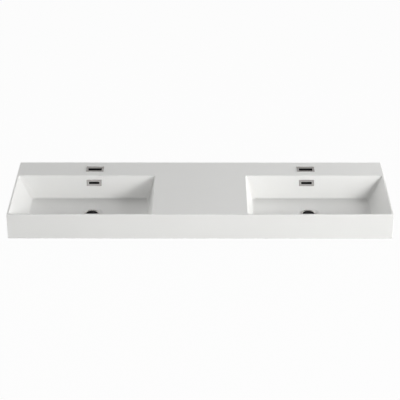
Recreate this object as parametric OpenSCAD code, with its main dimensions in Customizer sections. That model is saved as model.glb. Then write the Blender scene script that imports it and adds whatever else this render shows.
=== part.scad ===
// Double vanity top: one casting with two bowls, overflows, tap slots and push-to-close wastes

/* [Top] */
// Width of the top
top_w = 1500; // [1400:10:1800]
// Depth from the wall to the front face
top_d = 480; // [440:5:560]
// Height of the front apron
top_h = 105; // [98:1:140]
// Width of the narrow rim, and thickness of the front and side aprons
rim_w = 7; // [6:0.5:14]
// Thickness of the rear apron
rear_t = 10; // [7:1:20]
// Thickness of the deck
deck_t = 12; // [10:0.5:16]
// Depth of the deck behind the bowls
deck_back = 127; // [120:1:150]
// Width of the deck between the bowls
deck_mid = 370; // [350:5:460]
// Radius of the outer edges
edge_r = 2; // [1:0.5:3]

/* [Bowls] */
// Depth of a bowl below the deck
bowl_depth = 85; // [70:1:90]
// How far the back wall leans in over its height
lean_back = 40; // [30:1:50]
// How far the front wall leans in
lean_front = 10; // [6:1:16]
// How far the outer side wall leans in
lean_out = 57; // [30:1:70]
// How far the inner side wall leans in
lean_in = 25; // [12:1:35]
// Radius between the walls and the floor
bowl_r = 9; // [6:1:14]
// Radius of the mouth's corners
mouth_r = 5; // [3:0.5:7]
// Radius of the upright corners where they reach the floor
foot_r = 22; // [16:1:30]
// Bevel round the mouth
lip = 1.5; // [0.5:0.5:2]
// Thickness of the bowl's walls
bowl_t = 9; // [7:0.5:11]
// Thickness of the bowl's floor
floor_t = 8; // [6:0.5:10]

/* [Underside] */
// Thickness of the ribs
rib_t = 8; // [6:1:12]
// Gap from the ribs to the plane that the top rests on
rib_lift = 30; // [15:1:45]
// Distance of the side ribs from the middle
rib_x = 145; // [120:1:155]
// Radius of the bosses for the inserts
insert_boss_r = 12; // [10:0.5:15]
// Outer radius of an insert
insert_r = 6; // [5.5:0.25:8]
// Radius of an insert's M8 thread
insert_bore_r = 4; // [3:0.25:4.5]
// Length of an insert
insert_l = 16; // [12:1:24]
// Distance of the front inserts from the front face
insert_front = 60; // [40:5:120]
// Distance of the rear inserts from the wall
insert_back = 40; // [30:1:50]
// Distance of the outer rear inserts from the ends
insert_end = 50; // [40:5:70]

/* [Wastes] */
// Distance of each waste, overflow and tap slot from the middle
waste_x = 434; // [410:1:470]
// Radius of the drain hole
drain_r = 23; // [22.5:0.25:25]
// Radius of the shallow dish round the drain
dish_r = 46; // [40:1:60]
// Depth of the dish
dish_depth = 5; // [4.5:0.25:7]
// Outer radius of the drain boss
boss_r = 33; // [31:0.5:40]
// Length of the drain boss below the bowl's floor
boss_l = 32; // [26:1:45]
// Radius of the waste's flange
flange_r = 31.5; // [29:0.5:32.5]
// Thickness of the waste's flange
flange_t = 3; // [2.5:0.25:3.5]
// Radius of the waste's threaded tail
tail_r = 20.95; // [20:0.05:21.5]
// Wall of the tail
tail_t = 2.45; // [2:0.05:3.5]
// Length of the waste from its flange's top
waste_l = 85; // [70:1:120]
// Height of the overflow windows in the tail
window_h = 9; // [5:0.5:10]
// Width of the overflow windows
window_w = 13; // [8:0.5:16]
// Radius of the plug's stem
stem_r = 3.5; // [2.5:0.25:4]
// Outer radius of the click cartridge
cartridge_r = 6.5; // [6:0.25:8]
// Height of the bridge that carries the cartridge
bridge_h = 8; // [6:0.5:12]
// Width of the bridge's arms
bridge_w = 7; // [5:0.5:10]
// Height of the back nut
nut_h = 11; // [8:0.5:16]
// Radius of the back nut over its corners
nut_r = 29; // [27:0.5:32]

/* [Overflows] */
// Distance of the overflow's centre down the wall
overflow_drop = 30.5; // [26:0.5:36]
// Width of the overflow slot
overflow_w = 44; // [36:1:50]
// Height of the overflow slot
overflow_h = 10.5; // [9:0.5:12]
// Width of the overflow bezel
bezel_w = 62; // [60:1:70]
// Height of the overflow bezel
bezel_h = 26; // [24:0.5:28]
// Clear depth of the overflow channel
duct_gap = 9.5; // [8:0.25:12]
// Wall of the overflow channel
duct_t = 2; // [1.5:0.25:3]
// Outer width of the overflow channel
duct_w = 64; // [62:1:80]

/* [Tap slots] */
// Distance of a tap slot's centre from the wall
tap_back = 69; // [60:1:80]
// Width of a tap slot
tap_w = 56; // [40:1:60]
// Clear depth of a tap slot, front to back
tap_d = 29; // [20:1:32]
// Width of the trim's frame round the slot
frame_w = 8; // [7.5:0.5:12]
// Outer height of the clamp plate, front to back
clamp_d = 52; // [48:1:58]
// Thickness of the clamp plate
clamp_t = 3; // [2:0.5:5]
// Radius of the clamp screws
screw_r = 1.5; // [1.25:0.25:2]

/* [Trims and clearances] */
// Thickness of a trim's visible plate
trim_t = 1.8; // [1.2:0.1:3]
// Thickness of the seal under a trim
seal_t = 0.8; // [0.5:0.1:1.5]
// Wall of a trim's collar
collar_t = 2.5; // [2:0.25:3]
// Clearance round a part that passes through a hole
pass_gap = 0.5; // [0.3:0.1:1]
// Clearance of threads and of the sliding stem
fit_gap = 0.05; // [0.02:0.01:0.1]
// Clearance between the plug and its seat
seat_gap = 0.4; // [0.3:0.05:0.6]
// Gap between bonded or sealed faces
joint_gap = 0.1; // [0.05:0.05:0.2]

/* [Hidden] */
$fn = 96;

left = -1;
right = 1;
// Overshoot of every cut
cut = 1;
// Thickness of an outline inside a hull
thin = 0.01;
// Sides of the rings and circles inside a hull
round_fn = 32;

// Depth of an insert's hole past its end
insert_relief = 3;

// The bowl, seen on the right half of the top
floor_z = top_h - bowl_depth;
floor_low = floor_z - floor_t;
deck_low = top_h - deck_t;
mouth_back = -deck_back;
mouth_front = rim_w - top_d;
mouth_in = deck_mid / 2;
mouth_out = top_w / 2 - rim_w;
back_angle = atan(lean_back / bowl_depth);
drain_y = (mouth_back + mouth_front) / 2;

// How far a wall has leaned in at a height
function leaned(lean, z) = lean * (top_h - z) / bowl_depth;
// Level thickness of a leaning wall
function level_t(lean) = bowl_t / cos(atan(lean / bowl_depth));
// Level distance from a wall's foot to the axis of the round corner
function corner_in(lean) = foot_r - bowl_r + bowl_r * tan((90 - atan(lean / bowl_depth)) / 2);
// Outer faces of the bowl's walls at a height
function shell_back(z) = mouth_back + level_t(lean_back) - leaned(lean_back, z);
function shell_front(z) = mouth_front - level_t(lean_front) + leaned(lean_front, z);
function shell_out(z) = mouth_out + level_t(lean_out) - leaned(lean_out, z);
function shell_in(z) = mouth_in - level_t(lean_in) + leaned(lean_in, z);

// The waste, from the seat in the dish downwards
seat_z = floor_z - dish_depth;
boss_z = floor_z - boss_l;
washer_t = 1.5;
top_seal_t = 1.5;
// Margin of a seal or washer inside the face that covers it
seal_inset = 0.5;
washer_inset = 2;
flange_low = seat_z + top_seal_t;
flange_top = flange_low + flange_t;
tail_bore = tail_r - tail_t;
collar_r = drain_r - seat_gap;
plug_r = drain_r - pass_gap;
cup_r = plug_r + seat_gap;
cup_low = flange_top - flange_t / 2;
cone_low = cup_low - (cup_r - tail_bore);
lower_seal_t = 4;
washer_r = boss_r - washer_inset;
washer_z = boss_z - lower_seal_t;
nut_top = washer_z - washer_t;
// Relief groove in the thread, below the tightened nut
groove_drop = 2;
groove_top = nut_top - nut_h - groove_drop;
groove_h = 1.5;
groove_t = 0.8;
tail_chamfer = 1;
// How far the collar runs on below the cone, so that its wall stays whole
cone_cover = 0.5;
collar_low = cone_low - cone_cover;
duct_out = duct_gap + duct_t;
port_z = floor_low - duct_gap / 2;
bridge_top = washer_z;
// Wall of the bridge's hub, and step from the cartridge to its spigot
hub_t = 2;
spigot_step = 1.5;
hub_r = cartridge_r + hub_t;
spigot_r = cartridge_r - spigot_step;
tail_low = flange_top - waste_l;

// The plug, closed on its seat
cap_h = 4.5;
cap_low = flange_top - cap_h;
cap_crown = 0.8;
cap_hub_h = 4;
cap_hub_low = cap_low - cap_hub_h;
click_gap = 1.5;
cartridge_top = cap_hub_low - click_gap;
stem_low = bridge_top + click_gap;
ring_wire = 0.75;
ring_rise = 1.6;
ring_z = cap_low + ring_rise;

// Trims
tap_plate_w = tap_w + 2 * frame_w;
tap_plate_d = tap_d + 2 * frame_w;
// Metal on both sides of a clamp screw, and above its thread
screw_land = 1;
screw_top = 3;
tap_end_t = 2 * screw_r + 2 * screw_land;
tap_collar_w = tap_w + 2 * tap_end_t;
tap_collar_d = tap_d + 2 * collar_t;
// How far the collar stays short of the deck's underside, and the clamp reaches past it
collar_short = 1;
clamp_reach = 7;
tap_collar_low = deck_low + collar_short;
clamp_w = tap_collar_w + 2 * clamp_reach;
overflow_collar_w = overflow_w + 2 * collar_t;
overflow_collar_h = overflow_h + 2 * collar_t;
barb = 1.4;
leg_w = 7;
leg_l = 3;
corner_r = 1.5;

// Places a right-hand piece, or its mirror image on the left
module at_side(side) {
    mirror([side < 0 ? 1 : 0, 0, 0]) children();
}

// Places a piece on the line of the drain
module at_drain(side) {
    at_side(side) translate([waste_x, drain_y, 0]) children();
}

// Places a piece on the bowl's back wall: X along it, Y up it and Z out of it
module at_overflow(side) {
    at_side(side)
        translate([
            waste_x,
            mouth_back - overflow_drop * sin(back_angle),
            top_h - overflow_drop * cos(back_angle)
        ])
            rotate([90 - back_angle, 0, 0]) children();
}

// Places a piece on the deck over a tap slot
module at_tap_slot(side) {
    at_side(side) translate([waste_x, -tap_back, top_h]) children();
}

// Level rectangle with round corners, centred
module soft_rect(w, d, r) {
    square([w - 2 * r, d], center = true);
    square([w, d - 2 * r], center = true);
    for (x = [-1, 1], y = [-1, 1])
        translate([x * (w / 2 - r), y * (d / 2 - r)]) circle(r);
}

// Flat ring with round outer corners
module soft_frame(w, d, inner_w, inner_d, t, r) {
    linear_extrude(t) difference() {
        soft_rect(w, d, r);
        square([inner_w, inner_d], center = true);
    }
}

// Box on z = 0 whose top is wider than its foot by flare on every side
module flared_box(w, d, h, flare) {
    reach = 2 * abs(flare) + cut;
    intersection() {
        rotate([90, 0, 0])
            linear_extrude(d + reach, center = true)
                polygon([[-w / 2, 0], [w / 2, 0], [w / 2 + flare, h], [-w / 2 - flare, h]]);
        rotate([90, 0, 90])
            linear_extrude(w + reach, center = true)
                polygon([[-d / 2, 0], [d / 2, 0], [d / 2 + flare, h], [-d / 2 - flare, h]]);
    }
}

// Block with round upright corners and round top edges
module soft_block(w, d, h, r) {
    linear_extrude(h - r) soft_rect(w, d, r);
    translate([0, 0, (h - r) / 2 + r]) cube([w - 2 * r, d - 2 * r, h - r], center = true);
    for (x = [-1, 1])
        translate([x * (w / 2 - r), 0, h - r])
            rotate([90, 0, 0]) cylinder(h = d - 2 * r, r = r, center = true);
    for (y = [-1, 1])
        translate([0, y * (d / 2 - r), h - r])
            rotate([0, 90, 0]) cylinder(h = w - 2 * r, r = r, center = true);
    for (x = [-1, 1], y = [-1, 1])
        translate([x * (w / 2 - r), y * (d / 2 - r), h - r]) sphere(r);
}

// Level outline of a bowl at a height, drawn for a hull
module bowl_outline(z, grow) {
    x0 = mouth_in + leaned(lean_in, z) + mouth_r;
    x1 = mouth_out - leaned(lean_out, z) - mouth_r;
    y0 = mouth_front + leaned(lean_front, z) + mouth_r;
    y1 = mouth_back - leaned(lean_back, z) - mouth_r;
    for (x = [x0, x1], y = [y0, y1])
        translate([x, y, z]) cylinder(h = thin, r = mouth_r + grow, $fn = round_fn);
}

// Space inside a bowl: leaning walls, corners that widen towards the floor, and a bevelled mouth
module bowl_space() {
    x0 = mouth_in + lean_in + corner_in(lean_in);
    x1 = mouth_out - lean_out - corner_in(lean_out);
    y0 = mouth_front + lean_front + corner_in(lean_front);
    y1 = mouth_back - lean_back - corner_in(lean_back);
    hull() {
        bowl_outline(top_h, 0);
        for (x = [x0, x1], y = [y0, y1])
            translate([x, y, floor_z + bowl_r])
                rotate_extrude($fn = round_fn) translate([foot_r - bowl_r, 0]) circle(bowl_r, $fn = round_fn);
    }
    hull() {
        bowl_outline(top_h - lip, 0);
        bowl_outline(top_h, lip);
    }
}

// Outside of a bowl below the deck, kept within the aprons
module bowl_shell() {
    z1 = deck_low + deck_t / 2;
    intersection() {
        rotate([90, 0, 90])
            linear_extrude(top_w / 2 - rim_w / 2)
                polygon([
                    [shell_back(floor_low), floor_low], [shell_back(z1), z1],
                    [shell_front(z1), z1], [shell_front(floor_low), floor_low]
                ]);
        rotate([90, 0, 0])
            linear_extrude(top_d - rim_w / 2)
                polygon([
                    [shell_in(floor_low), floor_low], [shell_in(z1), z1],
                    [shell_out(z1), z1], [shell_out(floor_low), floor_low]
                ]);
    }
}

// Places of the inserts: four round the middle and two at the rear ends
module at_inserts() {
    for (x = [-rib_x, rib_x], y = [-insert_back, insert_front - top_d])
        translate([x, y, 0]) children();
    for (side = [left, right])
        translate([side * (top_w / 2 - insert_end), -insert_back, 0]) children();
}

// Solid parts under the deck
module underside() {
    for (x = [-rib_x, rib_x])
        translate([x - rib_t / 2, cut - top_d, rib_lift])
            cube([rib_t, top_d - 2 * cut, deck_low - rib_lift + cut]);
    translate([-rib_x, drain_y - rib_t / 2, rib_lift])
        cube([2 * rib_x, rib_t, deck_low - rib_lift + cut]);
    at_inserts() cylinder(h = deck_low + cut, r = insert_boss_r);
    for (side = [left, right]) {
        at_side(side) bowl_shell();
        at_drain(side) translate([0, 0, boss_z]) cylinder(h = floor_low - boss_z + cut, r = boss_r);
    }
}

// Dish, drain hole and overflow port of a bowl
module drain_cuts() {
    translate([0, 0, seat_z])
        cylinder(h = dish_depth, r1 = flange_r + pass_gap, r2 = dish_r);
    translate([0, 0, floor_z - thin]) cylinder(h = cut, r = dish_r);
    translate([0, 0, boss_z - cut]) cylinder(h = boss_l, r = drain_r);
    translate([-overflow_w / 2, 0, port_z - window_h / 2])
        cube([overflow_w - 2 * duct_t, boss_r + cut, window_h]);
}

module basin_top() {
    color([0.93, 0.93, 0.92]) difference() {
        union() {
            difference() {
                translate([0, -top_d / 2, 0]) soft_block(top_w, top_d, top_h, edge_r);
                translate([rim_w - top_w / 2, rim_w - top_d, -cut])
                    cube([top_w - 2 * rim_w, top_d - rim_w - rear_t, deck_low + cut]);
            }
            underside();
        }
        for (side = [left, right]) {
            at_side(side) bowl_space();
            at_drain(side) drain_cuts();
            at_tap_slot(side)
                cube([tap_collar_w + 2 * pass_gap, tap_collar_d + 2 * pass_gap, 3 * deck_t], center = true);
            at_overflow(side)
                cube([
                    overflow_collar_w + 2 * pass_gap,
                    overflow_collar_h + 2 * pass_gap,
                    2 * bowl_t + 2 * cut
                ], center = true);
        }
        at_inserts() translate([0, 0, -cut]) cylinder(h = insert_l + insert_relief + cut, r = insert_r + fit_gap);
    }
}

// Threaded inserts with two grooves that lock them in the casting
module fixing_inserts() {
    groove = 1.2;
    color([0.78, 0.62, 0.32]) at_inserts() difference() {
        cylinder(h = insert_l, r = insert_r);
        translate([0, 0, -cut]) cylinder(h = insert_l + 2 * cut, r = insert_bore_r);
        for (z = [insert_l / 3, insert_l * 2 / 3])
            translate([0, 0, z]) difference() {
                cylinder(h = groove, r = insert_r + cut);
                translate([0, 0, -cut]) cylinder(h = groove + 2 * cut, r = insert_r - groove / 2);
            }
    }
}

// Outline of the overflow channel from the side, as far out from the bowl as depth
module channel_outline(depth, top_z, front_y) {
    out = depth / cos(back_angle);
    low_z = floor_low - depth;
    polygon([
        [shell_back(top_z), top_z],
        [shell_back(top_z) + out, top_z],
        [shell_back(floor_low) + out, floor_low],
        [shell_back(low_z), low_z],
        [front_y, low_z],
        [front_y, floor_low],
        [shell_back(floor_low), floor_low]
    ]);
}

// Bonded channel from the overflow slot down the back wall and under the floor to the boss
module overflow_channel(side) {
    top_z = deck_low - cut;
    color([0.13, 0.13, 0.13]) at_side(side) difference() {
        translate([waste_x - duct_w / 2, joint_gap, -joint_gap])
            rotate([90, 0, 90]) linear_extrude(duct_w)
                channel_outline(duct_out - joint_gap, top_z, drain_y);
        translate([waste_x - duct_w / 2 + duct_t, -joint_gap, 0])
            rotate([90, 0, 90]) linear_extrude(duct_w - 2 * duct_t)
                channel_outline(duct_gap, top_z - duct_t, drain_y);
        translate([waste_x, drain_y, boss_z - cut])
            cylinder(h = boss_l + cut, r = boss_r + joint_gap);
        translate([waste_x, drain_y - boss_r, 0]) cube([duct_w + cut, 2 * boss_r, boss_l], center = true);
    }
}

// Snap leg at the end of a collar, with its barb outwards, seen from the side
module snap_leg() {
    reach = bowl_t + leg_l;
    rotate([90, 0, 0]) linear_extrude(leg_w, center = true)
        polygon([
            [0, 0], [0, -reach], [collar_t - 1, -reach],
            [collar_t + barb, joint_gap - bowl_t - 1], [collar_t, joint_gap - bowl_t - 1], [collar_t, 0]
        ]);
}

// Chrome bezel of the overflow: bevelled plate, collar through the wall and two snap legs
module overflow_trim(side) {
    plate_low = seal_t + joint_gap;
    bevel = 0.6;
    color([0.72, 0.73, 0.74]) at_overflow(side) difference() {
        union() {
            translate([0, 0, plate_low]) flared_box(bezel_w, bezel_h, trim_t, -bevel);
            translate([0, 0, (plate_low - bowl_t) / 2])
                cube([overflow_collar_w, overflow_collar_h, bowl_t + plate_low + joint_gap], center = true);
            for (end = [left, right])
                at_side(end) translate([overflow_w / 2, 0, 0]) snap_leg();
        }
        cube([overflow_w, overflow_h, 4 * bowl_t], center = true);
        translate([0, 0, plate_low + trim_t / 2]) flared_box(overflow_w, overflow_h, trim_t, trim_t);
    }
}

module overflow_seal(side) {
    color([0.16, 0.16, 0.16]) at_overflow(side) translate([0, 0, joint_gap / 2])
        soft_frame(
            bezel_w - 2 * seal_inset, bezel_h - 2 * seal_inset,
            overflow_collar_w + pass_gap, overflow_collar_h + pass_gap, seal_t, corner_r
        );
}

// Chrome trim of a tap slot: bevelled frame and a collar that the clamp screws hold
module tap_slot_trim(side) {
    bevel = 0.6;
    color([0.72, 0.73, 0.74]) at_tap_slot(side) difference() {
        union() {
            translate([0, 0, seal_t]) flared_box(tap_plate_w, tap_plate_d, trim_t, -bevel);
            translate([0, 0, tap_collar_low - top_h])
                linear_extrude(top_h - tap_collar_low + seal_t + trim_t / 2)
                    soft_rect(tap_collar_w, tap_collar_d, corner_r);
        }
        cube([tap_w, tap_d, 4 * deck_t], center = true);
        translate([0, 0, seal_t + trim_t / 2]) flared_box(tap_w, tap_d, trim_t, trim_t);
        at_clamp_screws() translate([0, 0, tap_collar_low - top_h - cut])
            cylinder(h = deck_t - screw_top + cut, r = screw_r + fit_gap);
    }
}

module tap_slot_seal(side) {
    color([0.16, 0.16, 0.16]) at_tap_slot(side)
        soft_frame(
            tap_plate_w - 2 * seal_inset, tap_plate_d - 2 * seal_inset,
            tap_collar_w + pass_gap, tap_collar_d + pass_gap, seal_t, corner_r
        );
}

// Places of the two clamp screws, in the thick ends of the collar
module at_clamp_screws() {
    for (x = [-1, 1])
        translate([x * (tap_w + tap_end_t) / 2, 0, 0]) children();
}

// Clamp plate under the deck, with turned-down edges front and back
module tap_slot_clamp(side) {
    edge_h = 3 * clamp_t;
    color([0.66, 0.67, 0.68]) at_tap_slot(side) translate([0, 0, -deck_t]) difference() {
        union() {
            translate([0, 0, -clamp_t]) linear_extrude(clamp_t) soft_rect(clamp_w, clamp_d, 2 * corner_r);
            for (y = [-1, 1])
                translate([0, y * (clamp_d - clamp_t) / 2, -edge_h / 2])
                    cube([clamp_w - 4 * corner_r, clamp_t, edge_h], center = true);
        }
        cube([tap_w, tap_d, 4 * clamp_t], center = true);
        at_clamp_screws() cylinder(h = 4 * clamp_t, r = screw_r + pass_gap / 2, center = true);
    }
}

// Pan-head screws with a hexagon socket
module tap_slot_screws(side) {
    head_h = 2.2;
    color([0.74, 0.74, 0.75]) at_tap_slot(side) at_clamp_screws()
        translate([0, 0, -deck_t - clamp_t]) difference() {
            union() {
                translate([0, 0, -head_h]) cylinder(h = head_h, r = 2 * screw_r);
                cylinder(h = clamp_t + deck_t / 2 + 1, r = screw_r);
            }
            translate([0, 0, -head_h - cut]) cylinder(h = head_h / 2 + cut, r = screw_r * 0.9, $fn = 6);
        }
}

// Waste: flange with a conical seat, tail with windows and a relief groove, and the bridge inside
module waste_body(side) {
    color([0.75, 0.76, 0.77]) at_drain(side) {
        difference() {
            rotate_extrude() polygon([
                [cup_r, flange_top], [flange_r - 1, flange_top], [flange_r, flange_top - 1],
                [flange_r, flange_low], [collar_r, flange_low], [collar_r, collar_low],
                [tail_r, collar_low], [tail_r, groove_top], [tail_r - groove_t, groove_top],
                [tail_r - groove_t, groove_top - groove_h], [tail_r, groove_top - groove_h],
                [tail_r, tail_low + tail_chamfer], [tail_r - tail_chamfer, tail_low],
                [tail_bore, tail_low], [tail_bore, cone_low], [cup_r, cup_low]
            ]);
            for (turn = [45, 135])
                translate([0, 0, port_z]) rotate([0, 0, turn])
                    cube([3 * tail_r, window_w, window_h], center = true);
        }
        translate([0, 0, bridge_top - bridge_h]) difference() {
            union() {
                cylinder(h = bridge_h, r = hub_r);
                translate([-tail_bore - tail_t / 2, -bridge_w / 2, 0])
                    cube([2 * tail_bore + tail_t, bridge_w, bridge_h]);
            }
            translate([0, 0, -cut]) cylinder(h = bridge_h + 2 * cut, r = spigot_r + fit_gap);
        }
    }
}

// Soft ring under the flange
module waste_top_seal(side) {
    color([0.16, 0.16, 0.16]) at_drain(side) translate([0, 0, seat_z]) difference() {
        cylinder(h = top_seal_t, r = flange_r - seal_inset);
        translate([0, 0, -cut]) cylinder(h = top_seal_t + 2 * cut, r = collar_r + 2 * fit_gap);
    }
}

// Rubber washer whose lip enters the drain hole from below
module waste_lower_seal(side) {
    lip_h = 3;
    color([0.14, 0.14, 0.14]) at_drain(side) rotate_extrude() polygon([
        [tail_r + fit_gap, washer_z], [washer_r, washer_z], [washer_r, boss_z],
        [drain_r - fit_gap, boss_z], [tail_r + 0.5, boss_z + lip_h], [tail_r + fit_gap, boss_z + lip_h]
    ]);
}

module waste_washer(side) {
    color([0.9, 0.9, 0.88]) at_drain(side) translate([0, 0, nut_top]) difference() {
        cylinder(h = washer_t, r = washer_r);
        translate([0, 0, -cut]) cylinder(h = washer_t + 2 * cut, r = tail_r + fit_gap);
    }
}

// Hexagonal back nut with a round flange
module waste_nut(side) {
    flange_h = 2.5;
    color([0.75, 0.76, 0.77]) at_drain(side) translate([0, 0, nut_top]) difference() {
        union() {
            translate([0, 0, -flange_h]) cylinder(h = flange_h, r = nut_r);
            translate([0, 0, -nut_h]) cylinder(h = nut_h, r = nut_r, $fn = 6);
        }
        translate([0, 0, -nut_h - cut]) cylinder(h = nut_h + 2 * cut, r = tail_r + fit_gap);
    }
}

// Click cartridge: sleeve that guides the stem, hexagon collar and a spigot in the bridge
module click_cartridge(side) {
    hex_h = 4;
    color([0.82, 0.82, 0.8]) at_drain(side) difference() {
        union() {
            translate([0, 0, bridge_top]) cylinder(h = cartridge_top - bridge_top, r = cartridge_r - 0.5);
            translate([0, 0, bridge_top]) cylinder(h = hex_h, r = cartridge_r, $fn = 6);
            translate([0, 0, bridge_top - bridge_h]) cylinder(h = bridge_h, r = spigot_r);
        }
        translate([0, 0, bridge_top]) cylinder(h = cartridge_top - bridge_top + cut, r = stem_r + fit_gap);
    }
}

// Plug: crowned cap with a ring groove in its conical edge, and the stem below it
module waste_plug(side) {
    crown_r = (plug_r * plug_r + cap_crown * cap_crown) / (2 * cap_crown);
    color([0.06, 0.06, 0.06]) at_drain(side) difference() {
        union() {
            intersection() {
                rotate_extrude() polygon([
                    [0, cap_low], [cap_r(cap_low), cap_low], [cap_r(cup_low), cup_low],
                    [plug_r, cup_low + (plug_r - cap_r(cup_low))], [plug_r, flange_top + cap_crown],
                    [0, flange_top + cap_crown]
                ]);
                translate([0, 0, flange_top + cap_crown - crown_r]) sphere(crown_r, $fn = 360);
            }
            translate([0, 0, cap_hub_low]) cylinder(h = cap_hub_h + cut, r = 2 * stem_r);
            translate([0, 0, stem_low]) cylinder(h = cap_hub_low - stem_low + cut, r = stem_r);
        }
        plug_ring(ring_wire + fit_gap);
    }
}

// Radius of the cap's conical edge at a height, parallel to the seat
function cap_r(z) = tail_bore + (z - cone_low) - seat_gap * sqrt(2);

// Ring in the cap's conical edge
module plug_ring(wire) {
    rotate_extrude() translate([cap_r(ring_z) - (ring_wire - seat_gap / 2) * sqrt(2), ring_z]) circle(wire);
}

module plug_seal(side) {
    color([0.1, 0.1, 0.1]) at_drain(side) plug_ring(ring_wire);
}

module left_overflow_channel() overflow_channel(left);
module left_overflow_trim() overflow_trim(left);
module left_overflow_seal() overflow_seal(left);
module left_tap_slot_trim() tap_slot_trim(left);
module left_tap_slot_seal() tap_slot_seal(left);
module left_tap_slot_clamp() tap_slot_clamp(left);
module left_tap_slot_screws() tap_slot_screws(left);
module left_waste_body() waste_body(left);
module left_waste_top_seal() waste_top_seal(left);
module left_waste_lower_seal() waste_lower_seal(left);
module left_waste_washer() waste_washer(left);
module left_waste_nut() waste_nut(left);
module left_click_cartridge() click_cartridge(left);
module left_waste_plug() waste_plug(left);
module left_plug_seal() plug_seal(left);

module right_overflow_channel() overflow_channel(right);
module right_overflow_trim() overflow_trim(right);
module right_overflow_seal() overflow_seal(right);
module right_tap_slot_trim() tap_slot_trim(right);
module right_tap_slot_seal() tap_slot_seal(right);
module right_tap_slot_clamp() tap_slot_clamp(right);
module right_tap_slot_screws() tap_slot_screws(right);
module right_waste_body() waste_body(right);
module right_waste_top_seal() waste_top_seal(right);
module right_waste_lower_seal() waste_lower_seal(right);
module right_waste_washer() waste_washer(right);
module right_waste_nut() waste_nut(right);
module right_click_cartridge() click_cartridge(right);
module right_waste_plug() waste_plug(right);
module right_plug_seal() plug_seal(right);

basin_top();
fixing_inserts();
left_overflow_channel();
left_overflow_trim();
left_overflow_seal();
left_tap_slot_trim();
left_tap_slot_seal();
left_tap_slot_clamp();
left_tap_slot_screws();
left_waste_body();
left_waste_top_seal();
left_waste_lower_seal();
left_waste_washer();
left_waste_nut();
left_click_cartridge();
left_waste_plug();
left_plug_seal();
right_overflow_channel();
right_overflow_trim();
right_overflow_seal();
right_tap_slot_trim();
right_tap_slot_seal();
right_tap_slot_clamp();
right_tap_slot_screws();
right_waste_body();
right_waste_top_seal();
right_waste_lower_seal();
right_waste_washer();
right_waste_nut();
right_click_cartridge();
right_waste_plug();
right_plug_seal();
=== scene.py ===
from math import asin, atan, cos, pi, radians, sin, tan

import bmesh
import bpy
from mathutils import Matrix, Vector


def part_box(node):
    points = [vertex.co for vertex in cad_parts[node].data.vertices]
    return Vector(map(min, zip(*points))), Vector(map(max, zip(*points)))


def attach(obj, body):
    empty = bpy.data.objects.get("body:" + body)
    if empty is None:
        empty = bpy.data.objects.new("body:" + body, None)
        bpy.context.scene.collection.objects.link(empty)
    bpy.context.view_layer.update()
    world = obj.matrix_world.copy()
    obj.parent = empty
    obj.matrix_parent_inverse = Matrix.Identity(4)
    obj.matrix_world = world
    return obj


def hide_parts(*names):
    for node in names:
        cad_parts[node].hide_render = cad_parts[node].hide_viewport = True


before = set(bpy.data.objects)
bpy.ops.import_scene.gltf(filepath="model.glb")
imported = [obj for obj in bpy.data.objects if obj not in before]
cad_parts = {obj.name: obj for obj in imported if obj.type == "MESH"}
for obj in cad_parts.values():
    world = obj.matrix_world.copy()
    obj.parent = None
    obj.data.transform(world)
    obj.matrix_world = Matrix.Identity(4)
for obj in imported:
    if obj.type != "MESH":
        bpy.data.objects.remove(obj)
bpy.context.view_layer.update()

# Double vanity top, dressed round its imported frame. Sizes are in millimetres, the scene is in metres.
mm = 0.001
sides = {"left": -1, "right": 1}


# Small tools for modelling

beyond = 10  # how far a cutter goes past what it cuts
clear = 1  # a smaller step past a face, or short of it
near = 0.1  # closer to a face than this counts as on it
hair = 0.01  # keeps two faces out of one plane
fold = {"slight": 0.3, "plain": 0.5, "sharp": 1}  # radians between the two faces of an edge
shading = {"smoothBelow": 35, "bevelAbove": 30}  # degrees between the two faces of an edge
facingUp = 0.9  # least upward share in the normal of a top face
roundCorners = 96  # corners of a full round


def deselectAll():
    bpy.ops.object.select_all(action='DESELECT')


def makeActive(piece):
    deselectAll()
    piece.select_set(True)
    bpy.context.view_layer.objects.active = piece


def boxOf(node):  # lowest and highest corner of a frame node, in mm
    low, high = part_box(node)
    return low / mm, high / mm


def middleOf(node):
    low, high = boxOf(node)
    return (low + high) / 2


def openMesh(piece):
    makeActive(piece)
    bpy.ops.object.mode_set(mode='EDIT')


def closeMesh():
    bpy.ops.object.mode_set(mode='OBJECT')


def pickFaces(test):  # test gets a face's middle in mm and its normal
    bpy.ops.mesh.select_mode(type='FACE')
    bpy.ops.mesh.select_all(action='DESELECT')
    mesh = bmesh.from_edit_mesh(bpy.context.object.data)
    for face in mesh.faces:
        face.select_set(bool(test(face.calc_center_median() / mm, face.normal)))
    bmesh.update_edit_mesh(bpy.context.object.data)


def pickTop():
    pickFaces(lambda middle, normal: normal.z > facingUp)


def pickEdges(test):  # test gets an edge's ends in mm and the angle between its faces
    bpy.ops.mesh.select_mode(type='EDGE')
    bpy.ops.mesh.select_all(action='DESELECT')
    mesh = bmesh.from_edit_mesh(bpy.context.object.data)
    for edge in mesh.edges:
        start, end = (corner.co / mm for corner in edge.verts)
        edge.select_set(bool(test(start, end, edge.calc_face_angle(0))))
    bmesh.update_edit_mesh(bpy.context.object.data)


def uprightEdge(a, b, angle):
    return angle > fold["sharp"] and abs(a.z - b.z) > near and (a - b).xy.length < hair


def lengthwiseEdge(a, b, angle):
    return angle > fold["sharp"] and abs(a.x - b.x) > clear


def bevelEdges(width, segments):
    bpy.ops.mesh.bevel(offset=width * mm, segments=segments, affect='EDGES', clamp_overlap=True)


def moveBy(x, y, z):
    bpy.ops.transform.translate(value=(x * mm, y * mm, z * mm))


def extrudeBy(x, y, z):
    bpy.ops.mesh.extrude_region_move(TRANSFORM_OT_translate={"value": (x * mm, y * mm, z * mm)})


def resizeAt(place, x, y, z):
    bpy.ops.transform.resize(value=(x, y, z), center_override=Vector(place) * mm)


def weldDoubles():
    bpy.ops.mesh.select_all(action='SELECT')
    bpy.ops.mesh.remove_doubles(threshold=mm / 1000)


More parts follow.
